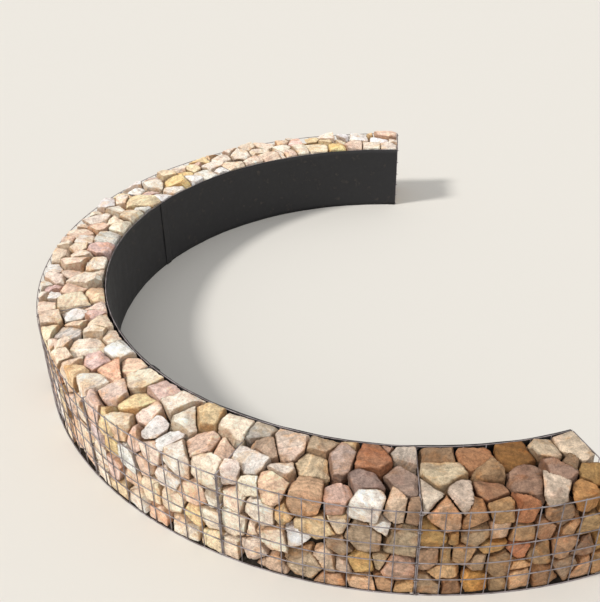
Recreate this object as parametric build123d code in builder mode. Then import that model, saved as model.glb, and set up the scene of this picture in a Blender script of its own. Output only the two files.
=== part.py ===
"""Curved gabion wall.

A low planter wall on a circular plan: nine welded-mesh cages side by side
round a little more than half a circle, each one filled with stone and lined at
the back.  Sizes in mm, +Z up, the ground is z = 0, the circle's open side
faces +X and the wall is the same on both sides of the plane y = 0.

The pieces of one cage, from the outside in: outer_mesh, rock_fill,
inner_mesh, back_liner.  A diaphragm stands between each two cages, and an
end mesh closes each end of the wall.
"""

import math
import os

from build123d import *

# driving sizes
BAYS = 9                      # cages in the row
COLUMNS = 9                   # mesh cells along one cage, outer face
ROWS = 5                      # mesh cells in the height
PITCH = 75.0                  # mesh cell
OUTER_R = 1700.0              # outer mesh, wire centre to wire centre
DEPTH = 300.0                 # outer mesh to inner mesh
WIRE = 4.5                    # wire, corner to corner of its square section
FIT = 0.2                     # clearance between pieces that press together
INNER_COLUMNS = 4             # uprights' spacing on the hidden inner face
DIAPHRAGM_COLUMNS = 2         # the same on the buried diaphragms
END_COLUMNS = 4               # the wall's two ends carry the whole mesh
HEAP = 25.0                   # stones above the top wire
SHOULDER = 30.0               # run of the heap's slope at each edge
LINER = 2.0                   # liner thickness
LINER_TOP = 2.0               # liner above the top wire
LINER_CAGES = 3               # cages to one length of liner

# derived sizes
INNER_R = OUTER_R - DEPTH
HALF = WIRE / 2
CELL = 2 * math.asin(PITCH / 2 / OUTER_R)         # one cell, as an angle
BAY = COLUMNS * CELL                              # one cage, as an angle
MESH_TOP = ROWS * PITCH + WIRE
FILL_TOP = MESH_TOP + HEAP
LEVELS = [HALF + PITCH * k for k in range(ROWS + 1)]
# end wires of neighbouring cages lie side by side at a joint
OUTER_GAP = math.asin((HALF + FIT / 2) / OUTER_R)
INNER_GAP = math.asin((HALF + FIT / 2) / INNER_R)
# the open side faces +X, so the row is centred on the -X axis
FIRST = math.pi + BAYS * BAY / 2


def polar(radius, angle):
    return (radius * math.cos(angle), radius * math.sin(angle))


def ring_points(radius, columns, gap):
    """Plan points of a cage's wire, one at each upright, centred on +X."""
    half = BAY / 2 - gap
    step = 2 * half / columns
    return [polar(radius, -half + step * i) for i in range(columns + 1)]


def mitre(before, here, after):
    """Plan section of an upright whose ridges meet the level wires' ridges."""
    back = Vector(*here) - Vector(*before) if before else None
    ahead = Vector(*after) - Vector(*here) if after else None
    back = (back or ahead).normalized()
    ahead = (ahead or back).normalized()
    out = Vector(ahead.Y + back.Y, -ahead.X - back.X).normalized()
    ridge = HALF / math.sqrt((1 + back.dot(ahead)) / 2)
    at = Vector(*here)
    return [
        (p.X, p.Y)
        for p in (at + out * ridge, at + ahead * HALF,
                  at - out * ridge, at - back * HALF)
    ]


def mesh_panel(points):
    """Welded panel: a level wire at each row, bent at each upright."""
    with BuildPart() as panel:
        heading = (Vector(*points[1]) - Vector(*points[0])).normalized()
        for level in LEVELS:
            with BuildLine() as run:
                Polyline(*[(x, y, level) for x, y in points])
            with BuildSketch(Plane(origin=(*points[0], level),
                                   x_dir=(0, 0, 1), z_dir=heading)):
                RegularPolygon(radius=HALF, side_count=4)
            sweep(path=run.line, transition=Transition.RIGHT)
        for i, here in enumerate(points):
            before = points[i - 1] if i else None
            after = points[i + 1] if i + 1 < len(points) else None
            with BuildSketch(Plane.XY.offset(LEVELS[0])):
                Polygon(*mitre(before, here, after), align=None)
            extrude(amount=LEVELS[-1] - LEVELS[0])
    return panel.part


def flat_panel(start, end, columns):
    """Panel straight across the wall, along +X from start to end."""
    step = (end - start) / columns
    return mesh_panel([(start + step * i, 0) for i in range(columns + 1)])


def offset_ring(radius, columns, out):
    """The cage's plan line moved outward by out, square to each side."""
    step = BAY / columns
    reach = radius + out / math.cos(step / 2)
    return [polar(reach, -BAY / 2 + step * i) for i in range(columns + 1)]


def between(inner, outer, side_gap):
    """Closed plan outline between two plan lines, cut side_gap short of
    the cage's two radial ends."""
    with BuildSketch() as outline:
        Polygon(*outer, *reversed(inner), align=None)
        wide = 2 * OUTER_R
        for turn in (-1, 1):
            with Locations(Location((0, 0, 0),
                                    (0, 0, math.degrees(turn * BAY / 2)))):
                with Locations((0, turn * (wide / 2 - side_gap))):
                    Rectangle(2 * wide, wide, mode=Mode.SUBTRACT)
    return outline.sketch


FACE = HALF + FIT                       # wire centre to what lies against it
FILL_OUT = offset_ring(OUTER_R, COLUMNS, -FACE)
FILL_IN = offset_ring(INNER_R, INNER_COLUMNS, FACE)
LINER_OUT = offset_ring(INNER_R, INNER_COLUMNS, -FACE)
LINER_IN = offset_ring(INNER_R, INNER_COLUMNS, -FACE - LINER)

# one cage's pieces
outer_panel = mesh_panel(ring_points(OUTER_R, COLUMNS, OUTER_GAP))
inner_panel = mesh_panel(ring_points(INNER_R, INNER_COLUMNS, INNER_GAP))

# stone fill: a block that follows the cage, heaped above the top wire
with BuildPart() as fill:
    with BuildSketch():
        add(between(FILL_IN, FILL_OUT, HALF + FIT))
    extrude(amount=FILL_TOP)
    crown = fill.faces().sort_by(Axis.Z)[-1]
    rim = [e for e in crown.edges()
           if abs(math.hypot((e @ 0.5).X, (e @ 0.5).Y) - INNER_R - DEPTH / 2)
           > DEPTH / 3]
    chamfer(rim, length=SHOULDER)

# the liner hangs behind the inner mesh and runs on across the joints
with BuildPart() as liner:
    with BuildSketch():
        add(between(LINER_IN, LINER_OUT, FIT / 2))
    extrude(amount=MESH_TOP + LINER_TOP)

# a diaphragm stops behind both faces, an end mesh laps over them
BEHIND = WIRE + FIT
diaphragm_panel = flat_panel(INNER_R + BEHIND, OUTER_R - BEHIND,
                             DIAPHRAGM_COLUMNS)
end_panel = flat_panel(INNER_R + BEHIND, OUTER_R - BEHIND, END_COLUMNS)


def bay_turn(n):
    """Middle of cage n, in degrees, counted from the -Y end."""
    return math.degrees(FIRST - (n - 0.5) * BAY)


def joint_turn(n):
    """Joint after cage n, in degrees; 0 and BAYS are the wall's ends."""
    return math.degrees(FIRST - n * BAY)


# frame
# the circle's centre lies on +X so that the wall's box is centred on z
LOW_X = -(OUTER_R * math.cos(CELL / 2) + HALF)
HIGH_X = (OUTER_R - BEHIND) * math.cos(FIRST) - HALF * math.sin(FIRST)
CENTRE_X = -(LOW_X + HIGH_X) / 2


def write_node(name, piece, *turns):
    """One node: the piece once at each turn about the wall's circle."""
    with BuildPart() as node:
        for turn in turns:
            with Locations(Location((CENTRE_X, 0, 0), (0, 0, turn))):
                add(piece)
    node.part.label = name
    export_step(node.part, f"parts/{name}.step")


os.makedirs("parts", exist_ok=True)

for n in range(1, BAYS + 1):
    write_node(f"outer_mesh_{n}", outer_panel, bay_turn(n))
    write_node(f"inner_mesh_{n}", inner_panel, bay_turn(n))
    write_node(f"rock_fill_{n}", fill.part, bay_turn(n))

# each length of liner holds one strip for each cage that it covers
for k, first in enumerate(range(1, BAYS + 1, LINER_CAGES)):
    last = min(first + LINER_CAGES, BAYS + 1)
    write_node(f"back_liner_{k + 1}", liner.part,
               *[bay_turn(n) for n in range(first, last)])

for n in range(1, BAYS):
    write_node(f"diaphragm_{n}", diaphragm_panel, joint_turn(n))

write_node("near_end_mesh", end_panel, joint_turn(0))
write_node("far_end_mesh", end_panel, joint_turn(BAYS))
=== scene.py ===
"""Curved gabion wall: welded cages, blocky stone fill and a black liner.

Every piece is worked out in the wall's own coordinates: run (along the outer
face from the near end), height, and depth (from the outer face inwards), and
is then bent round the wall's circle. All of them are metres, except where a
line says cells.
"""
import math

import bpy
import numpy as np
from bpy.props import FloatProperty, FloatVectorProperty, PointerProperty
from mathutils import Matrix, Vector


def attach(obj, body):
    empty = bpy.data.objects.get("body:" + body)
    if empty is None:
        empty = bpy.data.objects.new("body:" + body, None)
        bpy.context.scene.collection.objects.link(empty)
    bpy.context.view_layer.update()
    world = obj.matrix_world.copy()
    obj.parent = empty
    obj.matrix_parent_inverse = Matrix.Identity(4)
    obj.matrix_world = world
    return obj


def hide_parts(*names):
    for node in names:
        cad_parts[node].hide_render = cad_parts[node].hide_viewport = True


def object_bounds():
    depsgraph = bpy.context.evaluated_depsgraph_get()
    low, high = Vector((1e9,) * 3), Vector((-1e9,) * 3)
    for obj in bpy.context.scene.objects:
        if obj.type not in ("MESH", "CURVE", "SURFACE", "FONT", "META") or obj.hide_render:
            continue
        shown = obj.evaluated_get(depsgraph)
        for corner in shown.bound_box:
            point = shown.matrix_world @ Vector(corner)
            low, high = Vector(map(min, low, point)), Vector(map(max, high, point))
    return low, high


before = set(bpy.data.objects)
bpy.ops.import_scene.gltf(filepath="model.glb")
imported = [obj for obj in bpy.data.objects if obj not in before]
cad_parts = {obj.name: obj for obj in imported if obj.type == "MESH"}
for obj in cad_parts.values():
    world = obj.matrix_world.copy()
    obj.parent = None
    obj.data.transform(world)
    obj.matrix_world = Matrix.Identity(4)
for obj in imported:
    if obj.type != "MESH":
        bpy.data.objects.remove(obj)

bl_info = {
    "name": "Gabion Wall",
    "version": (1, 0, 0),
    "blender": (4, 5, 0),
    "location": "3D View > Sidebar > Gabion",
    "description": "Builds a curved gabion wall stone by stone",
    "category": "Add Mesh",
}

CAD_BOX = [list(corner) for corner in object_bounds()]

# cages, cells along and up a cage's face, cells along its back and its
# ends, and lengths of liner
BAYS = 9
COLUMNS = 9
ROWS = 5
INNER_COLUMNS = 7
END_COLUMNS = 4
LINER_LENGTHS = 3
# cages, from the near end, whose outer stones are listed one by one
PLACED_BAYS = 3

RADIUS = 1.7
DEPTH = 0.3
PITCH = 0.075
CELL = 2 * math.asin(PITCH / 2 / RADIUS)
NEAR_END = math.pi + BAYS * (COLUMNS * CELL) / 2
HALF_WIRE = 0.00225
CENTRE_X = CAD_BOX[0][0] + RADIUS * math.cos(CELL / 2) + HALF_WIRE
LEVELS = np.linspace(HALF_WIRE, ROWS * PITCH + HALF_WIRE, ROWS + 1)
TOP_WIRE = LEVELS[-1]

# Stones whose middle is below FOOT stand on the ground, those above BRIM
# rise over the top wire.
FOOT = 0.07
BRIM = 0.34
# height from which the top stones slope off towards the back
SHOULDER = 0.384
# least and greatest height and depth of a stone's points
STONE_LOW = (0.001, 0.0055)
STONE_HIGH = (0.414, 0.2925)
# neighbours that shape a stone, and faces along each side of its ball
NEIGHBOURS = 26
BALL_STEPS = 13
# cells from the top wire down to each clip
CLIP_LEVELS = (0.14, 1.12, 2.13, 3.12, 4.13, 4.9)

# first seed of each kind of piece, one more for every cage or length
STONE_SEED = 700
OUTER_SEED = 40
INNER_SEED = 60
LINER_SEED = 80
CLIP_SEED = 5

# a full turn, for the phases of the waves
TURN = 6.28

CAMERA_PLACE = (CENTRE_X - 0.8482, -3.3714, 2.2012)
# tilt down, roll, turn
CAMERA_DEGREES = (31.244, 1.102, -6.0956)
SENSOR = 36.0
# a focal length of 799.8 pixels in a picture 602 pixels high
LENS = 799.8 / 602 * SENSOR
# half the floor's width
FLOOR_REACH = 14


def linear(red, green, blue):
    """Linear colour from the 0 to 255 numbers of a colour chart."""
    return tuple((c / 255) ** 2.2 for c in (red, green, blue))


# settings
def length(name, default, description):
    return FloatProperty(name=name, default=default, unit="LENGTH",
                         description=description, min=0.0)


def colour(name, default, description):
    return FloatVectorProperty(name=name, default=linear(*default), size=3,
                               subtype="COLOR", min=0.0, max=1.0,
                               description=description)


class GabionSizes(bpy.types.PropertyGroup):
    wire: length("Wire", 0.0042, "Thickness of the mesh wire")
    gap: length("Joint", 0.0040, "Space left between two stones")
    crown: length("Crown", 0.3965, "Usual height of the top stones")
    clip: length("Clip", 0.0085, "Radius of the rings that join the cages")
    liner: length("Liner", 0.002, "Thickness of the liner")


class GabionColours(bpy.types.PropertyGroup):
    cream: colour("Cream", (250, 228, 205), "Commonest stone")
    white: colour("White", (252, 243, 234), "Palest stone")
    buff: colour("Buff", (238, 218, 194), "Pale clean stone")
    mauve: colour("Mauve", (216, 188, 176), "Pinkish grey stone")
    salmon: colour("Salmon", (234, 202, 178), "Warm pink stone")
    ochre: colour("Ochre", (232, 204, 158), "Yellow stone")
    olive: colour("Olive", (212, 192, 164), "Greenish tan stone")
    rust: colour("Rust", (216, 156, 116), "Orange stone")
    tan: colour("Tan", (216, 188, 150), "Brown stone")
    grey: colour("Grey", (210, 200, 190), "Grey stone")
    umber: colour("Umber", (190, 160, 132), "Darkest stone, placed by hand")
    zinc: colour("Zinc", (152, 144, 146), "Galvanised wire")
    liner: colour("Liner", (30, 30, 33), "Black liner")
    floor: colour("Floor", (222, 218, 210), "Pale floor")
    backdrop: colour("Backdrop", (237, 232, 224), "Beyond the floor's edge")
    # painted shade: this colour darkens and browns the stones towards the near end
    iron: colour("Iron", (220, 196, 166),
                 "Shading of the stones at the near end")


# how often each colour comes where no stone is placed by hand
STONE_SHARES = {"cream": 0.36, "white": 0.20, "mauve": 0.13, "salmon": 0.09,
                "ochre": 0.06, "olive": 0.01, "rust": 0.03, "tan": 0.03,
                "grey": 0.02, "buff": 0.07}

# Face stones listed one by one: cells from the near end, cells below the top
# wire, size in cells, colour.
FACE_STONES = (
    (7.9, 0.6, 1.5, "salmon"), (6.75, 0.6, 1.2, "salmon"),
    (5.6, 0.35, 0.9, "olive"), (4.4, 0.5, 1.3, "rust"),
    (2.9, 0.8, 1.4, "umber"), (1.75, 0.25, 1.1, "umber"),
    (0.7, 0.6, 1.3, "olive"), (8.35, 1.5, 1.3, "olive"),
    (7.55, 1.55, 0.8, "olive"), (6.65, 1.6, 1.2, "ochre"),
    (5.5, 1.55, 1.2, "cream"), (4.5, 1.6, 1.1, "tan"),
    (3.5, 1.6, 1.2, "mauve"), (2.4, 1.6, 0.9, "salmon"),
    (1.3, 1.8, 1.3, "tan"), (8.5, 2.9, 1.1, "mauve"), (7.8, 2.8, 0.9, "olive"),
    (7.0, 2.7, 1.1, "tan"), (5.85, 2.3, 1.0, "ochre"), (6.2, 3.25, 1.0, "tan"),
    (5.4, 3.35, 1.1, "tan"), (4.5, 2.6, 1.0, "rust"), (3.55, 2.9, 1.2, "tan"),
    (2.5, 2.75, 1.3, "salmon"), (1.5, 3.1, 1.1, "umber"),
    (0.6, 3.0, 1.1, "olive"), (7.8, 3.85, 1.0, "cream"),
    (8.5, 4.65, 1.0, "tan"), (7.35, 4.7, 1.0, "umber"),
    (6.3, 4.35, 1.0, "tan"), (5.45, 4.6, 1.0, "olive"),
    (4.55, 3.6, 0.9, "cream"), (4.5, 4.65, 1.0, "cream"),
    (3.35, 4.5, 1.2, "umber"), (2.35, 4.2, 1.0, "grey"),
    (1.3, 4.55, 1.1, "salmon"), (0.5, 4.4, 0.9, "tan"),
    (17.55, 0.3, 0.9, "cream"), (17.1, 1.2, 1.2, "cream"),
    (16.45, 0.35, 1.0, "cream"), (15.5, 0.3, 1.3, "salmon"),
    (13.95, 0.4, 1.7, "umber"), (12.55, 0.1, 1.2, "mauve"),
    (11.3, 0.25, 1.4, "white"), (10.75, 1.15, 0.9, "white"),
    (9.95, 0.4, 1.0, "cream"), (9.3, 0.4, 0.8, "umber"),
    (16.0, 1.55, 1.5, "cream"), (15.0, 1.35, 1.0, "tan"),
    (12.4, 1.15, 1.1, "cream"), (13.5, 1.75, 1.4, "ochre"),
    (11.4, 2.0, 1.6, "olive"), (9.7, 1.95, 1.6, "olive"),
    (17.2, 2.9, 1.2, "cream"), (16.55, 3.0, 0.8, "salmon"),
    (15.4, 2.9, 1.4, "cream"), (14.4, 2.7, 1.2, "white"),
    (12.3, 2.75, 1.0, "umber"), (11.3, 3.5, 1.2, "tan"),
    (10.65, 3.4, 1.0, "ochre"), (13.9, 4.0, 1.6, "tan"),
    (12.85, 3.7, 1.1, "olive"), (12.2, 3.8, 0.8, "salmon"),
    (9.75, 3.7, 1.4, "mauve"), (16.4, 4.0, 1.3, "salmon"),
    (17.5, 4.6, 1.2, "cream"), (15.6, 4.7, 1.1, "umber"),
    (11.45, 4.75, 0.9, "salmon"), (10.4, 4.75, 0.9, "umber"),
    (9.4, 4.8, 0.9, "tan"), (12.6, 4.85, 0.9, "umber"),
    (21.9, 0.7, 1.2, "cream"), (20.4, 0.55, 1.4, "cream"),
    (18.7, 0.5, 1.3, "cream"), (23.1, 0.75, 1.1, "salmon"),
    (24.2, 0.6, 1.2, "cream"), (25.3, 0.8, 1.1, "ochre"),
    (26.4, 0.6, 1.2, "mauve"), (19.5, 1.9, 1.4, "salmon"),
    (18.5, 1.8, 1.1, "cream"), (21.0, 1.8, 1.5, "cream"),
    (22.5, 1.7, 1.4, "salmon"), (23.8, 1.9, 1.4, "white"),
    (25.1, 1.9, 1.3, "ochre"), (26.3, 1.8, 1.2, "mauve"),
    (18.5, 3.1, 1.3, "cream"), (19.6, 3.4, 1.1, "ochre"),
    (20.8, 3.1, 1.2, "cream"), (22.3, 3.1, 1.5, "cream"),
    (23.7, 3.3, 1.3, "salmon"), (25.1, 3.2, 1.3, "mauve"),
    (26.3, 3.2, 1.2, "cream"), (18.35, 4.6, 1.2, "ochre"),
    (20.3, 4.6, 1.4, "cream"), (21.9, 4.6, 1.4, "salmon"),
    (23.4, 4.6, 1.3, "cream"), (24.9, 4.6, 1.3, "tan"),
    (26.3, 4.6, 1.2, "cream"),
)

# Top stones listed one by one: cells from the near end, cells of depth, size in
# cells, colour.
TOP_STONES = (
    (3.15, 0.9, 1.3, "white"), (7.75, 3.3, 1.5, "tan"),
    (6.0, 3.2, 1.7, "mauve"), (7.7, 2.05, 1.6, "buff"), (5.8, 2.2, 1.2, "tan"),
    (5.8, 1.1, 1.4, "mauve"), (7.3, 0.95, 1.2, "white"),
    (8.4, 1.2, 1.1, "buff"), (4.0, 3.1, 1.8, "umber"),
    (4.0, 1.4, 1.9, "mauve"), (2.2, 3.05, 1.3, "white"),
    (0.6, 3.1, 1.9, "white"), (1.5, 2.1, 1.1, "tan"), (2.4, 1.8, 1.5, "mauve"),
    (0.9, 1.2, 1.3, "olive"), (15.6, 3.1, 1.7, "cream"),
    (16.5, 2.4, 1.2, "umber"), (16.9, 1.25, 1.5, "white"),
    (15.3, 1.3, 1.2, "cream"), (13.9, 3.35, 1.5, "tan"),
    (14.0, 1.95, 1.5, "cream"), (12.75, 2.5, 1.5, "mauve"),
    (11.2, 2.95, 1.9, "rust"), (12.3, 3.6, 1.0, "tan"),
    (10.35, 3.65, 0.9, "mauve"), (11.3, 1.3, 1.3, "mauve"),
    (9.7, 1.6, 1.6, "mauve"), (9.8, 3.3, 1.6, "buff"),
    (17.4, 3.6, 1.2, "grey"), (19.6, 1.4, 1.3, "salmon"),
    (18.3, 1.3, 1.2, "salmon"), (21.3, 0.95, 1.0, "white"),
    (22.2, 0.9, 0.9, "white"), (21.4, 2.0, 1.4, "cream"),
    (18.8, 3.0, 1.6, "cream"), (20.7, 3.0, 1.7, "tan"),
    (22.6, 3.0, 1.6, "cream"), (23.2, 1.5, 1.4, "salmon"),
    (24.6, 1.7, 1.4, "ochre"), (24.4, 3.2, 1.4, "mauve"),
    (26.2, 1.4, 1.4, "salmon"), (26.0, 3.0, 1.6, "cream"),
)


# wall coordinates
def bend(points):
    """Run, height, depth to X, Y, Z.

    The run is an angle back from the near end, of which each pitch is one
    straight cell across the outer circle; the radius is the outer one less
    the depth.
    """
    points = np.asarray(points, float)
    run, height, depth = np.moveaxis(points, -1, 0)
    angle = NEAR_END - run * CELL / PITCH
    radius = RADIUS - depth
    return np.stack([CENTRE_X + radius * np.cos(angle),
                     radius * np.sin(angle), height], -1)


def joint_run(joint):
    """Run of the joint before the cage of that number."""
    return COLUMNS * joint * PITCH


def cage_runs(bay, at_joint, at_end):
    """Where a cage starts and stops, less a margin at a joint or an end."""
    return (joint_run(bay) + (at_joint if bay else at_end),
            joint_run(bay + 1) - (at_joint if bay < BAYS - 1 else at_end))


def unit(vectors):
    """The same directions at length 1."""
    return vectors / np.linalg.norm(vectors, axis=-1, keepdims=True)


# how an attribute of so many numbers a point is stored
ATTRIBUTES = {1: ("FLOAT", "value"), 3: ("FLOAT_VECTOR", "vector"),
              4: ("FLOAT_COLOR", "color")}


def mesh_object(name, vertices, faces, materials, face_material=None,
                attributes=None, crease=None):
    """A mesh from whole arrays, placed on the wall's body.

    An attribute is an array with a row for each vertex, and edges sharper
    than the crease, in degrees, stay sharp.
    """
    mesh = bpy.data.meshes.new(name)
    mesh.from_pydata(vertices, [], faces)
    mesh.polygons.foreach_set("use_smooth", [True] * len(mesh.polygons))
    if face_material is not None:
        mesh.polygons.foreach_set("material_index", face_material)
    for key, values in (attributes or {}).items():
        kind, field = ATTRIBUTES[values.shape[1]]
        layer = mesh.attributes.new(key, kind, "POINT")
        layer.data.foreach_set(field, values.astype(np.float32).ravel())
    for material in materials:
        mesh.materials.append(material)
    mesh.update()
    if crease:
        mesh.set_sharp_from_angle(angle=math.radians(crease))
    piece = bpy.data.objects.new(name, mesh)
    bpy.context.scene.collection.objects.link(piece)
    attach(piece, "root")
    return piece


def grid_faces(rows, columns, wrap=False):
    """Four-cornered faces of a rows by columns grid of points."""
    across = columns if wrap else columns - 1
    i, j = np.meshgrid(np.arange(rows - 1), np.arange(across), indexing="ij")
    k = (j + 1) % columns
    return np.stack([i * columns + j, i * columns + k,
                     (i + 1) * columns + k, (i + 1) * columns + j],
                    -1).reshape(-1, 4)


def joined(parts):
    """Several sets of vertices and arrays of faces as one list of each."""
    vertices, faces, count = [], [], 0
    for points, *sets in parts:
        vertices.append(points)
        for faces_set in sets:
            faces += (faces_set + count).tolist()
        count += len(points)
    return np.concatenate(vertices), faces


# stones
def lattice_noise(points, size, seed):
    """Smooth noise between -1 and 1.

    Each corner of a cubic lattice gets a value mixed from its whole-number
    place, and a point takes the eight corner values round it, weighted by
    the cubic ease 3t2 - 2t3 along each axis.
    """
    scaled = points / size + 100.0
    base = np.floor(scaled).astype(np.int64)
    part = scaled - base
    ease = part * part * (3 - 2 * part)
    total = np.zeros(len(scaled))
    for corner in np.ndindex(2, 2, 2):
        at = base + np.array(corner)
        mixed = (at[:, 0] * 73856093) ^ (at[:, 1] * 19349663) \
            ^ (at[:, 2] * 83492791) ^ (seed * 2654435761)
        mixed = ((mixed ^ (mixed >> 13)) * 1274126177) & 0x7FFFFFFF
        value = (mixed ^ (mixed >> 16)) % 65536 / 32767.5 - 1
        weight = np.prod(np.where(corner, ease, 1 - ease), axis=1)
        total += weight * value
    return total


def cube_ball(steps):
    """Unit directions over a cube's six faces, and the faces between them.

    On each face the two parameters run from -45 to 45 degrees, their
    tangents give the point on the cube, and the point is brought to
    length 1. Points that two cube faces share are one vertex.
    """
    line = np.tan(np.linspace(-math.pi / 4, math.pi / 4, steps + 1))
    a, b = np.meshgrid(line, line, indexing="ij")
    sides, faces = [], []
    for axis in range(3):
        for sign in (1, -1):
            side = np.empty(a.shape + (3,))
            side[..., axis] = sign
            side[..., (axis + 1) % 3] = a * sign
            side[..., (axis + 2) % 3] = b
            faces.append(grid_faces(steps + 1, steps + 1)
                         + len(faces) * a.size)
            sides.append(side.reshape(-1, 3))
    points = np.concatenate(sides)
    _, first, where = np.unique(np.round(points, 6), axis=0,
                                return_index=True, return_inverse=True)
    faces = where.reshape(-1)[np.concatenate(faces)]
    return unit(points[first]), faces[:, ::-1]


COARSE_BALL, FINE_BALL = cube_ball(4), cube_ball(BALL_STEPS)


def facet_radius(directions, normals, distances, sharpness=60):
    """Distance from a stone's middle to its surface, per direction.

    A plane at distance d with normal n is met after d / (n . u). The
    surface is the nearest of the planes, made soft by the power mean
    (sum of (n . u / d) ** k) ** (-1 / k), which rounds every edge.
    """
    reach = np.maximum(directions @ normals.T / distances, 1e-9)
    top = reach.max(axis=1)
    total = ((reach / top[:, None]) ** sharpness).sum(axis=1)
    return 1 / (top * total ** (1 / sharpness))


def edge_snap(directions, normals, distances, spacing):
    """Directions near the line where two facets meet, moved onto it.

    With the facets written as (n / d) . p = 1, the two that are met first
    meet in the plane (n1 / d1 - n2 / d2) . p = 0 through the middle; a
    direction closer to it than half the grid's spacing drops onto it.
    """
    scaled = normals / distances[:, None]
    reach = directions @ scaled.T
    order = np.argsort(-reach, axis=1)[:, :2]
    across = scaled[order[:, 0]] - scaled[order[:, 1]]
    across /= np.linalg.norm(across, axis=1, keepdims=True) + 1e-12
    off = np.einsum("ij,ij->i", directions, across)
    near = np.abs(off) < spacing / 2
    return unit(directions - np.where(near, off, 0)[:, None] * across)


def tilted(rng, normal, degrees):
    """The normal, leant in any direction, seldom by more than the angle."""
    lean = rng.normal(size=3) * math.tan(math.radians(degrees)) / 2
    return unit(np.asarray(normal, float) + lean)


def sideways(rng, normal):
    """A random direction square to the normal."""
    side = rng.normal(size=3)
    return unit(side - normal * (side @ normal))


def any_tint(rng):
    """The name of a stone colour, by how often each comes."""
    return rng.choice(list(STONE_SHARES), p=list(STONE_SHARES.values()))


def scatter(rng, low, high, count):
    """Places in a strip between two corners, the biggest stone first.

    Sizes fall evenly from 2 to 0.9 cells. Of eighty random tries each
    stone takes the one with the most room: the distance to the nearest
    stone before it, less half of both sizes, and less twice what it lacks
    to stand a third of its size inside the strip's edges.
    """
    placed = np.empty((0, 3))
    for size in np.linspace(2.0, 0.9, count):
        tries = rng.uniform(low, high, (80, 2))
        inside = np.minimum(tries - low, np.subtract(high, tries)).min(axis=1)
        room = np.minimum(inside - 0.33 * size, 0)
        if len(placed):
            far = np.linalg.norm(tries[:, None] - placed[None, :, :2],
                                 axis=2) - (size + placed[:, 2]) / 2
            room = room * 2 + far.min(axis=1)
        placed = np.vstack([placed, (*tries[np.argmax(room)], size)])
    return placed


def fill_line(rng, start, stop):
    """Middles and widths, of 1.4 to 2 cells, that fill a run exactly."""
    widths = rng.uniform(1.4, 2.0, round((stop - start) / 1.7))
    widths *= (stop - start) / widths.sum()
    return zip(start + np.cumsum(widths) - widths / 2, widths)


def stone_places(rng, bay):
    """Every stone of a cage: its middle, its size, its colour, and whether
    it shows. Stones inside the cage only give the others a neighbour, but
    those by the wall's two ends are seen there."""
    start, stop = COLUMNS * bay, COLUMNS * (bay + 1)
    places = []

    def add(run, row, depth, size, tint, shown=True):
        places.append((run * PITCH, TOP_WIRE - row * PITCH, depth * PITCH,
                       size * PITCH, tint, shown))

    face = [s for s in FACE_STONES if start <= s[0] < stop]
    top = [s for s in TOP_STONES if start <= s[0] < stop]
    if bay >= PLACED_BAYS:
        # one strip up the face and on over the top, folded at its edge
        for run, up, size in scatter(rng, (start, 0.0), (stop, 8.9), 34):
            if up < 5.5:
                face.append((run, max(4.95 - up, 0.4), size, any_tint(rng)))
            else:
                top.append((run, up - 5.0, size, any_tint(rng)))
    for run, row, size, tint in face:
        depth = 0.62 + rng.uniform(-0.1, 0.1) - (0.12 if row < 0.6 else 0)
        add(run, row, depth, size, tint)
    for run, depth, size, tint in top:
        slab = tint == "white" and depth < 1.2
        row = 0.1 if slab else 0.45 if depth < 1 else 0.35
        add(run, row, depth, size, tint)
    for row in (1.8, 3.1, 4.5):
        for depth in (1.9, 3.2):
            for run, wide in fill_line(rng, start, stop):
                shown = (bay == 0 and run < start + 2.6) or \
                    (bay == BAYS - 1 and run > stop - 2.6)
                add(run + rng.uniform(-0.1, 0.1),
                    row + rng.uniform(-0.2, 0.2), depth,
                    math.sqrt(wide * 1.35), any_tint(rng), shown)
    return places


def neighbour_planes(rng, index, places, leans, gap):
    """Planes between a stone and its neighbours.

    Each lies nearer the smaller of the two stones, by the squares of their
    half sizes over twice the distance, and leans the same way for both.
    """
    span = places[:, :3] - places[index, :3]
    apart = np.linalg.norm(span, axis=1)
    close = np.argsort(apart)[1:NEIGHBOURS + 1]
    apart = apart[close]
    own = (places[index, 3] / 2) ** 2
    theirs = (places[close, 3] / 2) ** 2
    share = np.clip(0.5 + (own - theirs) / (2 * apart ** 2), 0.28, 0.72)
    straight = span[close] / apart[:, None]
    leant = unit(straight + leans[index, close])
    uneven = rng.uniform(0, 0.0014, len(apart))
    return leant, (share * apart * (leant * straight).sum(1)
                   - gap / 2 - uneven)


def cage_planes(rng, middle, start, stop, crown):
    """Planes of the cage round a stone: its two ends, the ground, the heap,
    the face, the back, and the shoulder at the back's upper edge. Each is a
    normal in run, height and depth, a distance and a lean in degrees."""
    crown += rng.uniform(-0.015, 0.009)
    standing = middle[1] < FOOT
    recess = 0.0062 + (0 if standing else rng.uniform(0.0, 0.008))
    if rng.uniform() < 0.12 and not standing:
        recess += 0.010
    back = rng.uniform(0.283, 0.2935)
    lean = 7 if middle[1] > BRIM else 1.5
    planes = (((-1, 0, 0), middle[0] - start, lean),
              ((1, 0, 0), stop - middle[0], lean),
              ((0, -1, 0), middle[1] + 0.008, 2),
              ((0, 1, 0), crown - middle[1], 9),
              ((0, 0, -1), middle[2] - recess, 6),
              ((0, 0, 1), back - middle[2], 2),
              ((0, 0.8, 0.6), 0.8 * (SHOULDER - middle[1])
               + 0.6 * (back - middle[2]), 7))
    return (np.array([tilted(rng, plane[0], plane[2]) for plane in planes]),
            np.maximum([plane[1] for plane in planes], 0.012))


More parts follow.
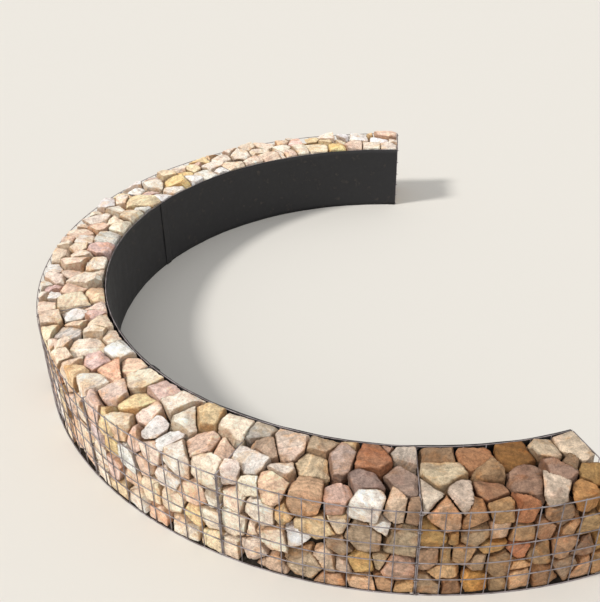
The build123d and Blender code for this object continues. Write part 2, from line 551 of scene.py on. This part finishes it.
def slant_planes(rng, standing, normals, distances):
    """Slanting facets on a stone's front and top.

    Each starts where it has lost a few millimetres, the drop, at the
    stone's edge: at the share 1 - drop / (width tan angle) of the width.
    """
    slants, reaches = [], []
    for look, most in (((0, 0, -1.0), 0.010), ((0, 1.0, 0), 0.018)):
        look = np.array(look)
        reach = facet_radius(look[None], normals, distances)[0]
        splits = [(rng.uniform(10, 30), rng.uniform(0.006, most))
                  for _ in range(rng.integers(1, 3))]
        splits += [(rng.uniform(30, 52), rng.uniform(0.002, 0.006))
                   for _ in range(rng.integers(0, 2))]
        for angle, drop in splits:
            side = sideways(rng, look)
            if standing:
                side[1] = abs(side[1])
            width = facet_radius(side[None], normals, distances)[0]
            angle = math.radians(angle)
            share = max(1 - drop / (width * math.tan(angle)), 0.0)
            slants.append(look * math.cos(angle) + side * math.sin(angle))
            reaches.append(slants[-1] @ (look * reach
                                         + side * width * share))
    return np.array(slants), np.array(reaches)


def corner_planes(rng, standing, normals, distances):
    """Up to three cuts across the corners that stand out farthest."""
    cuts = unit(rng.normal(size=(18, 3)))
    reach = facet_radius(cuts, normals, distances)
    reach[(cuts[:, 1] < -0.1) & standing] = 0
    chosen = np.argsort(-reach)[:rng.integers(0, 4)]
    return cuts[chosen], np.array([
        max(reach[k], 0.04) - rng.uniform(0.003, 0.010) for k in chosen])


def stone_mesh(rng, index, places, leans, bay, sizes):
    """One stone, in wall coordinates, with its faces and its rim.

    The planes round it, brought to their common middle, give a radius for
    each direction of a ball, and two sizes of noise roughen it. The rim is
    how nearly a joint plane is the first plane met: 1 on the sides in the
    joints, less on the faces.
    """
    middle = places[index, :3]
    start, stop = cage_runs(bay, 0.004, 0.010)
    sides = neighbour_planes(rng, index, places, leans, sizes.gap)
    cage = cage_planes(rng, middle, start, stop, sizes.crown)
    normals, distances = map(np.concatenate, zip(sides, cage))
    radius = facet_radius(COARSE_BALL[0], normals, distances, 20)
    shift = (COARSE_BALL[0] * radius[:, None]).mean(0)
    middle = middle + shift
    distances = distances - normals @ shift
    keep = distances > 0.004
    joints = np.sum(keep[:len(sides[1])])
    normals, distances = normals[keep], distances[keep]

    standing = middle[1] < FOOT
    slants = slant_planes(rng, standing, normals, distances)
    cuts = corner_planes(rng, standing, normals, distances)
    normals = np.concatenate([normals, slants[0], cuts[0]])
    distances = np.concatenate([distances, np.maximum(slants[1], 0.01),
                                np.maximum(cuts[1], 0.01)])

    directions, faces = FINE_BALL
    directions = edge_snap(directions, normals, distances,
                           math.pi / 2 / BALL_STEPS)
    reach = directions @ normals.T / distances
    rim = reach[:, :joints].max(1) / reach.max(1)
    radius = facet_radius(directions, normals, distances,
                          rng.uniform(180, 340))
    points = middle + directions * radius[:, None]
    where = points + rng.uniform(0, 9, 3)
    rough = 0.0024 * lattice_noise(where, 0.045, 3) \
        + 0.0028 * lattice_noise(where, 0.019, 5) - 0.0006
    points = points + directions * rough[:, None]
    over = np.where(points[:, 1] > 0.36, 0.006, 0.001)
    points[:, 0] = np.clip(points[:, 0], start - over, stop + over)
    points[:, 1:] = np.clip(points[:, 1:], STONE_LOW, STONE_HIGH)
    return points, faces, rim


def stone_tint(rng, chart, run, depth, name):
    """A stone's own tint, from its colour in the chart.

    Towards the near end it is darker and browner with painted shade, with
    less of that on the pale colours; towards the far end it is lighter with
    painted light; and behind the face, towards the near end, it is darker
    with painted shade. Then its level, its hue and its strength vary at random.
    """
    run, depth = run / PITCH, depth / PITCH
    along = np.clip((run - 7) / 9, 0, 1)
    pale = np.clip((run - 14) / 8, 0, 1)
    base = np.array(getattr(chart, name))
    # painted shade: the stones get darker and browner towards the near end, the pale
    # colours less so
    shade_tint = np.array(chart.iron) ** (1 - along)
    if name == "rust":
        base += (np.array(chart.salmon) - base) * 0.55 * along
    # painted light: the level rises towards the far end
    level = 0.98 + 0.09 * along + 0.12 * pale \
        + rng.uniform(-0.16, 0.16) * (1 - 0.5 * pale)
    if name in ("white", "buff"):
        shade_tint = shade_tint ** (0.6 if name == "white" and along < 0.1 else 0.2)
        level = max(level, 0.98)
    # painted shade: stones behind the face are darker towards the near end
    if depth > 0.8:
        level *= 1 - 0.3 * np.clip((24 - run) / 10, 0, 1)
    tint = base * shade_tint * level * rng.uniform(0.97, 1.03, 3)
    grey = tint @ (0.3, 0.6, 0.1)
    tint = grey + (tint - grey) * (1 + rng.uniform(-0.3, 0.22))
    return np.clip(tint / max(tint.max() / 0.95, 1), 0.02, 1)


def core_mesh(bay):
    """Painted shade inside a cage: a dark bent box that shows only in the gaps.

    A closed ring of seven corners in height and depth is carried along the
    cage's run, and the first and last rings are capped.
    """
    runs = np.linspace(*cage_runs(bay, 0.016, 0.05), COLUMNS + 1)
    # the first corners reach out low under the face stones, so a dark strip of painted
    # shade shows at the foot
    ring = np.array([(0.0008, 0.003), (0.014, 0.03), (0.05, 0.048),
                     (0.31, 0.048), (0.34, 0.08), (0.34, 0.285),
                     (0.0008, 0.287)])
    corners = len(ring)
    points = np.concatenate([
        np.column_stack([np.full(corners, run), ring]) for run in runs])
    walls = grid_faces(len(runs), corners, wrap=True)[:, ::-1]
    k = np.arange(corners)
    return bend(points), walls, np.array((k, len(points) - 1 - k))


class StoneFill(bpy.types.Operator):
    """Fill every cage with its own blocky stones, fitted to each other"""
    bl_idname = "gabion.stone_fill"
    bl_label = "Stone fill"

    def execute(self, context):
        sizes = context.scene.gabion_sizes
        chart = context.scene.gabion_colours
        for bay in range(BAYS):
            rng = np.random.default_rng(STONE_SEED + bay)
            listed = stone_places(rng, bay)
            places = np.array([place[:4] for place in listed])
            leans = rng.normal(0, 0.14, (len(places), len(places), 3))
            leans -= leans.transpose(1, 0, 2)
            parts, marks = [], []
            for index, (run, _, depth, _, name, shown) in enumerate(listed):
                if not shown:
                    continue
                points, quads, rim = stone_mesh(rng, index, places, leans,
                                                bay, sizes)
                tint = stone_tint(rng, chart, run, depth, name)
                shift = rng.uniform(-9, 9, 3)
                bed = tilted(rng, rng.normal(size=3), 1)
                own = np.tile([*tint, 1, *shift, *bed], (len(points), 1))
                parts.append((bend(points), quads))
                marks.append(np.column_stack([own, rim]))
            stone_faces = sum(len(quads) for _, quads in parts)
            parts.append(core_mesh(bay))
            vertices, faces = joined(parts)
            # marks for the box of painted shade inside the cage
            shade_core_marks = (0.02, 0.018, 0.015, 1, 0, 0, 0, 1, 1, 1, 1)
            marks = np.concatenate(
                [*marks, np.tile(shade_core_marks, (len(parts[-1][0]), 1))])
            piece = mesh_object(
                f"stones_{bay + 1}", vertices, faces,
                (stone_material(), core_material()),
                [0] * stone_faces + [1] * (len(faces) - stone_faces),
                {"stone_tint": marks[:, :4], "stone_shift": marks[:, 4:7],
                 "stone_bed": marks[:, 7:10], "stone_rim": marks[:, 10:]},
                crease=16)
            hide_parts(f"rock_fill_{bay + 1}")
        return {"FINISHED"}


# wires
def capped(bodies, steps, sides):
    """Several like round bodies as one set of vertices and faces.

    Each body is its rings of points, the first ring first, and then the
    two points that close its first and its last ring.
    """
    count, per = bodies.shape[:2]
    k = np.arange(sides)
    after = (k + 1) % sides
    last = per - 2 - sides
    caps = np.concatenate([
        np.stack([np.full(sides, per - 2), after, k], -1),
        np.stack([np.full(sides, per - 1), last + k, last + after], -1)])
    offsets = np.arange(count)[:, None, None] * per
    walls = grid_faces(steps, sides, wrap=True)
    return (bodies.reshape(-1, 3), (walls + offsets).reshape(-1, 4),
            (caps + offsets).reshape(-1, 3))


def tubes(paths, thickness, sides=8):
    """Round wires: a circle carried along each path and capped.

    At each point of a path the circle lies square to the path's direction,
    on two axes worked out from that direction and the vertical (or, for an
    upright, the X axis): point + r (cos t axis1 + sin t axis2).
    """
    wires, steps = paths.shape[:2]
    along = unit(np.gradient(paths, axis=1))
    steep = np.abs(along[..., 2:]) > 0.9
    aside = np.where(steep, np.array((1.0, 0, 0)), np.array((0, 0, 1.0)))
    first = unit(np.cross(along, aside))
    second = np.cross(along, first)
    t = np.arange(sides) * 2 * math.pi / sides
    ring = (first[:, :, None] * np.cos(t)[:, None]
            + second[:, :, None] * np.sin(t)[:, None]) * thickness / 2
    body = (paths[:, :, None] + ring).reshape(wires, -1, 3)
    return capped(np.concatenate([body, paths[:, [0, -1]]], axis=1), steps,
                  sides)


def weld_beads(places, size):
    """A small rounded bead at each crossing: two rings of six, and poles.

    Points are place + size / 2 (cos a cos b, sin a cos b, sin b).
    """
    a = np.arange(6) * math.pi / 3
    b = np.radians((-35, 35))[:, None]
    rings = np.stack([np.cos(a) * np.cos(b), np.sin(a) * np.cos(b),
                      np.sin(b) + 0 * a], -1).reshape(-1, 3)
    ball = np.concatenate([rings, [(0, 0, -1), (0, 0, 1)]]) * size / 2
    return capped(places.reshape(-1, 1, 3) + ball, 2, 6)


def welded(point, fine, places, heights, thickness, insets, bead):
    """Level wires, uprights and a bead at each of their crossings.

    point(place, height, inset) is a wire's point in wall coordinates. The
    level wires run through the fine places, the uprights stand at the
    others, and the insets are those of the uprights and of the beads.
    """
    height, place = np.meshgrid(heights, places)
    crossings = point(*np.meshgrid(places, LEVELS), insets[1])
    return joined((
        tubes(bend(point(*np.meshgrid(fine, LEVELS), 0.0)), thickness),
        tubes(bend(point(place, height, insets[0])), thickness),
        weld_beads(bend(crossings), thickness * bead)))


def curved_panel(bay, depth, columns, thickness, inward, rng):
    """Level wires round a cage's face and uprights welded to their back.

    A wire's points are (run, height, depth) with a slow wave of under two
    millimetres in depth and, on the level wires, half a millimetre in
    height, as welded mesh has once it is filled. Inward scales the wave
    in depth and what the uprights are set in by.
    """
    start, stop = cage_runs(bay, 0.0026, 0.0026)
    set_in, bead_in = 0.86 * thickness, 0.43 * thickness
    phase = rng.uniform(0, TURN, 2)

    def wavy(run, height, inset):
        t = (run - start) / (stop - start)
        swell = np.sin(math.pi * t) * np.sin(math.pi * height / 0.38)
        sway = inward * 0.0016 * swell * np.sin(9 * t + phase[0])
        settle = 0.0006 * np.sin(7 * t + 9 * height + phase[1]) \
            * (height > 0.01) * (inset < set_in)
        return np.stack([run, height + settle,
                         depth + inward * inset + sway], -1)

    return welded(wavy, np.linspace(start, stop, 2 * columns + 1),
                  np.linspace(start, stop, columns + 1),
                  np.linspace(LEVELS[0], LEVELS[-1], 2 * ROWS + 1),
                  thickness, (set_in, bead_in), 1.35)


def straight_panel(joint, thickness):
    """A panel across the wall: level wires and uprights, welded.

    Points are (run of the joint, height, depth). The uprights stand on the
    level wires' farther side, and at the far end on the nearer one.
    """
    side = 1 if joint < BAYS else -1
    depths = np.linspace(0.007, DEPTH - 0.007, END_COLUMNS + 1)

    def across(depth, height, inset):
        run = np.full(depth.shape, joint_run(joint) + side * inset)
        return np.stack([run, height, depth], -1)

    return welded(across, np.linspace(depths[0], depths[-1], 3), depths,
                  np.linspace(LEVELS[0], LEVELS[-1], 3), thickness,
                  (0.4 * thickness, 0.0008), 1.3)


def wire_piece(name, node, panel):
    """A panel of the mesh as a finished piece, in place of its node."""
    piece = mesh_object(name, *panel, (zinc_material(),))
    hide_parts(node)


class CurvedMesh(bpy.types.Operator):
    """Curved panels on the face and at the back of each cage"""
    bl_idname = "gabion.curved_mesh"
    bl_label = "Outer and inner mesh"

    def execute(self, context):
        wire = context.scene.gabion_sizes.wire
        for side, seed, depth, columns, thickness, inward in (
                ("outer", OUTER_SEED, 0.0, COLUMNS, wire, 1),
                ("inner", INNER_SEED, DEPTH, INNER_COLUMNS, 0.9 * wire,
                 0.001)):
            for bay in range(BAYS):
                rng = np.random.default_rng(seed + bay)
                wire_piece(f"{side}_wires_{bay + 1}",
                           f"{side}_mesh_{bay + 1}",
                           curved_panel(bay, depth, columns, thickness,
                                        inward, rng))
        return {"FINISHED"}


class CrossMesh(bpy.types.Operator):
    """Diaphragms between the cages and the panels at the two ends"""
    bl_idname = "gabion.cross_mesh"
    bl_label = "Diaphragms and ends"

    def execute(self, context):
        nodes = ["near_end_mesh",
                 *(f"diaphragm_{joint}" for joint in range(1, BAYS)),
                 "far_end_mesh"]
        for joint, node in enumerate(nodes):
            wire_piece(node.replace("_mesh", "") + "_wires", node,
                       straight_panel(joint, context.scene.gabion_sizes.wire))
        return {"FINISHED"}


class JointClips(bpy.types.Operator):
    """Open rings that clamp each two cages' end wires together"""
    bl_idname = "gabion.joint_clips"
    bl_label = "Joint clips"

    def execute(self, context):
        sizes = context.scene.gabion_sizes
        turns = np.radians(np.linspace(20, 340, 9))
        rings = []
        rng = np.random.default_rng(CLIP_SEED)
        for joint in range(BAYS + 1):
            reach = sizes.clip * (1 if 0 < joint < BAYS else 0.8)
            across = reach * np.cos(turns)
            for depth in (0.003, DEPTH - 0.003):
                for level in CLIP_LEVELS:
                    height = TOP_WIRE - level * PITCH \
                        + rng.uniform(-0.006, 0.006)
                    lean = rng.uniform(-0.25, 0.25)
                    rings.append(np.stack([
                        joint_run(joint) + across, height + lean * across,
                        depth + 0.72 * reach * np.sin(turns)], -1))
        points, faces = joined([tubes(bend(rings), sizes.wire * 0.75, 4)])
        piece = mesh_object("joint_clips", points, faces, (zinc_material(),))
        return {"FINISHED"}


# liner
def liner_sheet(number, thickness, wire, rng):
    """One length of liner, as a closed thin shell.

    A ring round the sheet's section (up its front, over the top edge and
    down its back) is carried along the run. The sheet bears on every wire
    of the mesh and bellies out by a millimetre between them, with the
    product of two sines of run and height, and in slow folds. Its first
    stretch laps behind the length before it, by a smooth step. The top
    edge rises and falls by a few millimetres.
    """
    cages = BAYS // LINER_LENGTHS
    last = number == LINER_LENGTHS - 1
    seam = joint_run(cages * number)
    start = max(seam - (0.05 if number else 0.0), 0.003)
    stop = joint_run(cages * (number + 1)) - (0.003 if last else 0.0)
    runs = np.linspace(start, stop, 6 * COLUMNS * cages + 1)
    heights = np.linspace(0.0, 1.0, 3 * ROWS + 1)
    phase = rng.uniform(0, TURN, 5)
    edge = TOP_WIRE + 0.0015 + 0.0016 * np.sin(runs * 7 + phase[0]) \
        + 0.0008 * np.sin(runs * 23 + phase[1])
    run, height = np.meshgrid(runs, heights, indexing="ij")
    tall = 0.001 + height * (edge[:, None] - 0.001)
    cell = COLUMNS * PITCH / INNER_COLUMNS
    belly = 0.0011 * np.abs(np.sin(math.pi * run / cell)
                            * np.sin(math.pi * tall / PITCH)) \
        + 0.0007 * (1 + np.sin(13 * run + phase[2] + 2 * tall)) \
        + 0.0004 * (1 + np.sin(37 * run + phase[3]
                               + 5 * np.sin(6 * tall + phase[4])))
    ahead = np.clip((run - seam) / 0.012, 0, 1)
    behind = (1 - ahead * ahead * (3 - 2 * ahead)) \
        * (thickness + 0.0035) * (number > 0)
    face = DEPTH + wire / 2 + 0.0002 + belly + behind
    front = np.stack([run, tall, face], -1)
    back = np.stack([run, tall, face + thickness], -1)
    ring = np.concatenate([back, front[:, ::-1]], axis=1)
    rows, columns = ring.shape[:2]
    k = np.arange(columns // 2 - 1)
    near = np.stack([k, k + 1, columns - 2 - k, columns - 1 - k], -1)
    far = near[:, ::-1] + (rows - 1) * columns
    return joined([(bend(ring.reshape(-1, 3)),
                    grid_faces(rows, columns, wrap=True), near, far)])


class BackLiner(bpy.types.Operator):
    """Black sheet behind the back mesh, in three lapped lengths"""
    bl_idname = "gabion.back_liner"
    bl_label = "Back liner"

    def execute(self, context):
        sizes = context.scene.gabion_sizes
        for number in range(LINER_LENGTHS):
            rng = np.random.default_rng(LINER_SEED + number)
            sheet = liner_sheet(number, sizes.liner, sizes.wire, rng)
            piece = mesh_object(f"liner_{number + 1}", *sheet,
                                (liner_material(),))
            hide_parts(f"back_liner_{number + 1}")
        return {"FINISHED"}


# materials
WARM_WASH = (0.93, 0.73, 0.53, 1.0)
ROSE_WASH = (0.96, 0.82, 0.78, 1.0)
# darkens the pits, and paints shade on the stones' sides in the joints
SOIL_AND_SHADE_WASH = (0.46, 0.38, 0.31, 1.0)
DULL_WASH = (0.55, 0.52, 0.50, 1.0)
DUST = (0.13, 0.105, 0.08, 1.0)
# the two tones of the painted shade inside each cage
DEEP_SHADE = (0.010, 0.008, 0.006, 1.0)
PALER_SHADE = (0.045, 0.036, 0.028, 1.0)


def solid_colour(name):
    """A colour of the chart with its alpha."""
    return (*getattr(bpy.context.scene.gabion_colours, name), 1.0)


class Value:
    """A node's output that adds Math nodes when it is used in a sum."""

    def __init__(self, sheet, socket):
        self.sheet, self.socket = sheet, socket

    def maths(self, operation, first, second, clamp=False):
        return self.sheet.node("ShaderNodeMath",
                               {"operation": operation, "use_clamp": clamp},
                               {0: first, 1: second})

    def __add__(self, other):
        return self.maths("ADD", self, other)

    __radd__ = __add__

    def __sub__(self, other):
        return self.maths("SUBTRACT", self, other)

    def __mul__(self, other):
        return self.maths("MULTIPLY", self, other)

    __rmul__ = __mul__

    def kept(self):
        """The value held between 0 and 1."""
        return self.maths("ADD", self, 0.0, clamp=True)


class Sheet:
    """A node tree, emptied, and the one method that adds nodes to it."""

    def __init__(self, owner):
        owner.use_nodes = True
        self.owner, self.tree = owner, owner.node_tree
        self.tree.nodes.clear()

    def node(self, kind, settings=None, inputs=None, out=0):
        made = self.tree.nodes.new(kind)
        for key, value in (settings or {}).items():
            if key == "stops":
                for stop, (at, tone) in zip(made.color_ramp.elements, value):
                    stop.position, stop.color = at, tone
            else:
                setattr(made, key, value)
        for key, value in (inputs or {}).items():
            if isinstance(value, Value):
                self.tree.links.new(value.socket, made.inputs[key])
            else:
                made.inputs[key].default_value = value
        return Value(self, made.outputs[out]) if made.outputs else None

    def place(self):
        return self.node("ShaderNodeTexCoord", out="Object")

    def attribute(self, name, out):
        return self.node("ShaderNodeAttribute", {"attribute_name": name},
                         out=out)

    def noise(self, vector, scale, detail=2.0, roughness=0.5, out=0):
        return self.node("ShaderNodeTexNoise", None,
                         {"Vector": vector, "Scale": scale, "Detail": detail,
                          "Roughness": roughness}, out)

    def ramp(self, value, low, high, least=0.0, most=1.0, form="LINEAR"):
        """The range from low to high spread over least to most."""
        return self.node("ShaderNodeMapRange", {"interpolation_type": form},
                         {"Value": value, "From Min": low, "From Max": high,
                          "To Min": least, "To Max": most})

    def between(self, value, low, high):
        """0 below low, 1 above high and a smooth step between."""
        return self.ramp(value, low, high, form="SMOOTHSTEP")

    def mix(self, share, first, second, blend="MIX", kept=False):
        return self.node("ShaderNodeMix",
                         {"data_type": "RGBA", "blend_type": blend,
                          "clamp_result": kept},
                         {0: share, 6: first, 7: second}, out=2)

    def wash(self, tone, over, kept=False):
        """One colour multiplied by another."""
        return self.mix(1.0, tone, over, "MULTIPLY", kept)

    def finish(self, bsdf, height=None, bump=0.5, distance=0.002):
        if height is not None:
            bsdf["Normal"] = self.node(
                "ShaderNodeBump", None,
                {"Strength": bump, "Distance": distance, "Height": height})
        shader = self.node("ShaderNodeBsdfPrincipled", None, bsdf)
        self.node("ShaderNodeOutputMaterial", None, {"Surface": shader})
        return self.owner


def once(make):
    """Makes a material the first time and gives the same one after that."""
    def made():
        name = make.__name__.replace("_material", "")
        return bpy.data.materials.get(name) \
            or make(Sheet(bpy.data.materials.new(name)))
    return made


@once
def stone_material(sheet):
    """Quarried sandstone: a tint per stone, clouded, stained and gritty, with painted
    shade on its sides in the joints.
    """
    shift = sheet.attribute("stone_shift", "Vector")
    rim = sheet.attribute("stone_rim", "Fac")
    own = sheet.node("ShaderNodeTexWhiteNoise", None, {"Vector": shift})
    here = sheet.node("ShaderNodeVectorMath", {"operation": "ADD"},
                      {0: sheet.place(), 1: shift})
    along = sheet.node("ShaderNodeVectorMath",
                       {"operation": "DOT_PRODUCT"},
                       {0: here, 1: sheet.attribute("stone_bed", "Vector")},
                       out="Value")
    cloud = sheet.noise(here, 11.0, 4.0, 0.55)
    stain = sheet.noise(here, 17.0, 4.0, 0.6)
    blush = sheet.noise(here, 13.0, 3.0, 0.5)
    drift = sheet.noise(here, 30.0, 2.0, 0.5, out="Color")
    mottle = sheet.noise(here, 42.0, 3.0, 0.6)
    grain = sheet.noise(here, 115.0, 4.0, 0.85)
    grit = sheet.noise(here, 330.0, 3.0, 0.65)
    beds = sheet.node("ShaderNodeTexNoise", {"noise_dimensions": "1D"},
                      {"W": along * 55.0 + cloud * 2.5, "Scale": 1.0,
                       "Detail": 4.0, "Roughness": 0.65})
    shade = sheet.ramp(cloud, 0.36, 0.64, 0.88, 1.19) \
        * sheet.ramp(mottle, 0.36, 0.64, 0.84, 1.17) \
        * sheet.ramp(grain, 0.36, 0.64, 0.70, 1.30) \
        * sheet.ramp(beds, 0.30, 0.70, 0.78, 1.2)
    grey = sheet.node("ShaderNodeCombineColor", None,
                      {0: shade, 1: shade, 2: shade})
    clouded = sheet.wash(sheet.attribute("stone_tint", "Color"), grey, True)
    rusty = sheet.between(stain + sheet.ramp(rim, 0.6, 1.0, 0.0, 0.08)
                          + sheet.ramp(beds, 0.4, 0.7, -0.04, 0.08)
                          + own * 0.16 - 0.08, 0.53, 0.70)
    stained = sheet.mix(rusty * 0.75, clouded,
                        sheet.wash(clouded, WARM_WASH))
    blushed = sheet.mix(sheet.between(blush, 0.51, 0.64) * 0.5, stained,
                        sheet.wash(stained, ROSE_WASH))
    pits = sheet.between(grit * 0.45 + grain * 0.55, 0.54, 0.64)
    # pits darken at random; where the rim is near 1, on the stones' sides in the joints,
    # the darkening is painted shade
    pits_and_joint_shade = (pits * 0.25 + sheet.between(rim, 0.88, 1.0) * 0.75).kept()
    tone = sheet.mix(pits_and_joint_shade, blushed, sheet.wash(blushed, SOIL_AND_SHADE_WASH))
    wander = sheet.node("ShaderNodeVectorMath", {"operation": "MULTIPLY_ADD"},
                        {0: drift, 1: (0.05, 0.05, 0.05), 2: here})
    chips = sheet.node("ShaderNodeTexVoronoi", None,
                       {"Vector": wander, "Scale": 34.0})
    height = grain * 0.6 + beds * 0.5 + grit * 0.12 + chips * 0.55
    return sheet.finish({"Base Color": tone,
                         "Roughness": 0.82 + grain * 0.12,
                         "Specular IOR Level": 0.3},
                        height, 0.8, 0.009)


@once
def core_material(sheet):
    """Painted shade between the stones: deep and paler shade, mixed by noise."""
    grain = sheet.noise(sheet.place(), 90.0, 4.0)
    tone = sheet.node("ShaderNodeValToRGB",
                      {"stops": ((0.3, DEEP_SHADE), (0.8, PALER_SHADE))},
                      {"Fac": grain})
    return sheet.finish({"Base Color": tone, "Roughness": 0.95,
                         "Specular IOR Level": 0.1}, grain, 0.6, 0.004)


@once
def zinc_material(sheet):
    """Dull galvanised wire with a faint spangle and greyed patches."""
    base = solid_colour("zinc")
    here = sheet.place()
    cloud = sheet.noise(here, 30.0, 3.0)
    spangle = sheet.noise(here, 420.0, 2.0)
    tone = sheet.mix(sheet.between(cloud, 0.42, 0.66), base,
                     sheet.wash(base, DULL_WASH))
    return sheet.finish({"Base Color": tone, "Metallic": 0.4,
                         "Roughness": 0.36 + cloud * 0.18 + spangle * 0.1},
                        spangle, 0.2, 0.0004)


@once
def liner_material(sheet):
    """Matt black sheet with a little dust and a drawn surface."""
    here = sheet.place()
    dust = sheet.noise(here, 22.0, 5.0, 0.65)
    weave = sheet.noise(here, 300.0, 2.0)
    tone = sheet.mix(sheet.between(dust, 0.55, 0.8) * 0.35,
                     solid_colour("liner"), DUST)
    return sheet.finish({"Base Color": tone,
                         "Roughness": 0.5 + dust * 0.3},
                        weave + dust * 2.0, 0.35, 0.0015)


@once
def floor_material(sheet):
    """Plain pale matt floor."""
    return sheet.finish({"Base Color": solid_colour("floor"),
                         "Roughness": 0.9, "Specular IOR Level": 0.2})


# stage
def broad_lamp(name, at, spread, power, tone=(1, 1, 1)):
    """A far lamp over the wall that looks spread degrees wide from it."""
    lamp = bpy.data.lights.new(name, "SUN")
    lamp.angle, lamp.energy = math.radians(spread), power
    lamp.color = tone
    holder = bpy.data.objects.new(name, lamp)
    bpy.context.scene.collection.objects.link(holder)
    holder.location = at
    x, y, z = at
    holder.rotation_euler = (math.atan2(math.hypot(x, y), z), 0,
                             math.atan2(-y, -x) - math.pi / 2)


def daylight(backdrop):
    """Even light on the wall, and the backdrop where no surface is seen."""
    world = bpy.data.worlds.new("daylight")
    sky = Sheet(world)
    seen = sky.node("ShaderNodeLightPath", out="Is Camera Ray") \
        + sky.node("ShaderNodeLightPath", out="Is Glossy Ray") \
        + sky.node("ShaderNodeLightPath", out="Is Transmission Ray")
    light = sky.node("ShaderNodeBackground", None,
                     {"Color": (0.97, 0.98, 1.0, 1.0), "Strength": 0.58})
    beyond = sky.node("ShaderNodeBackground", None,
                      {"Color": backdrop, "Strength": 1.0})
    both = sky.node("ShaderNodeMixShader", None,
                    {0: seen.kept(), 1: light, 2: beyond})
    sky.node("ShaderNodeOutputWorld", None, {"Surface": both})
    return world


def camera_matrix():
    """The camera's place and axes: a view along +Y that is rolled about its
    line of sight, tilted down, and turned about Z."""
    pitch, roll, turn = np.radians(CAMERA_DEGREES)
    return Matrix.Translation(CAMERA_PLACE) \
        @ Matrix.Rotation(turn, 4, "Z") \
        @ Matrix.Rotation(math.pi / 2 - pitch, 4, "X") \
        @ Matrix.Rotation(-roll, 4, "Z")


class Stage(bpy.types.Operator):
    """Pale floor, soft lamps, and the camera above the near side"""
    bl_idname = "gabion.stage"
    bl_label = "Floor, lamps and camera"

    def execute(self, context):
        scene = context.scene
        points = [(x * FLOOR_REACH, y * FLOOR_REACH, 0)
                  for x, y in ((-1, -1), (1, -1), (1, 1), (-1, 1))]
        mesh = bpy.data.meshes.new("floor")
        mesh.from_pydata(points, [], [(0, 1, 2, 3)])
        mesh.materials.append(floor_material())
        floor = bpy.data.objects.new("floor", mesh)
        scene.collection.objects.link(floor)

        scene.world = daylight(solid_colour("backdrop"))
        broad_lamp("key", (-3.6, -0.6, 3.4), 10, 2.35, (1.0, 0.98, 0.95))
        broad_lamp("fill", (1.0, -4.0, 2.8), 60, 0.45)

        lens = bpy.data.cameras.new("camera")
        lens.sensor_width, lens.lens = SENSOR, LENS
        lens.clip_start, lens.clip_end = 0.05, 60
        scene.camera = bpy.data.objects.new("camera", lens)
        scene.collection.objects.link(scene.camera)
        scene.camera.matrix_world = camera_matrix()
        scene.view_settings.view_transform = "Standard"
        return {"FINISHED"}


class GabionPanel(bpy.types.Panel):
    """Lists the wall's pieces, sizes and colours"""
    bl_idname = "VIEW3D_PT_gabion"
    bl_label = "Gabion wall"
    bl_space_type = "VIEW_3D"
    bl_region_type = "UI"
    bl_category = "Gabion"

    def draw(self, context):
        layout = self.layout
        for group in (context.scene.gabion_sizes,
                      context.scene.gabion_colours):
            box = layout.box()
            for key in group.__annotations__:
                box.prop(group, key)
        for operator in OPERATORS:
            layout.operator(operator.bl_idname)


OPERATORS = (StoneFill, CurvedMesh, CrossMesh, JointClips, BackLiner,
             Stage)
CLASSES = (GabionSizes, GabionColours, *OPERATORS, GabionPanel)


def register():
    for cls in CLASSES:
        bpy.utils.register_class(cls)
    bpy.types.Scene.gabion_sizes = PointerProperty(type=GabionSizes)
    bpy.types.Scene.gabion_colours = PointerProperty(type=GabionColours)


def unregister():
    del bpy.types.Scene.gabion_colours
    del bpy.types.Scene.gabion_sizes
    for cls in reversed(CLASSES):
        bpy.utils.unregister_class(cls)


def main():
    register()
    bpy.ops.gabion.stone_fill()
    bpy.ops.gabion.curved_mesh()
    bpy.ops.gabion.cross_mesh()
    bpy.ops.gabion.joint_clips()
    bpy.ops.gabion.back_liner()
    bpy.ops.gabion.stage()


if __name__ == "__main__":
    main()
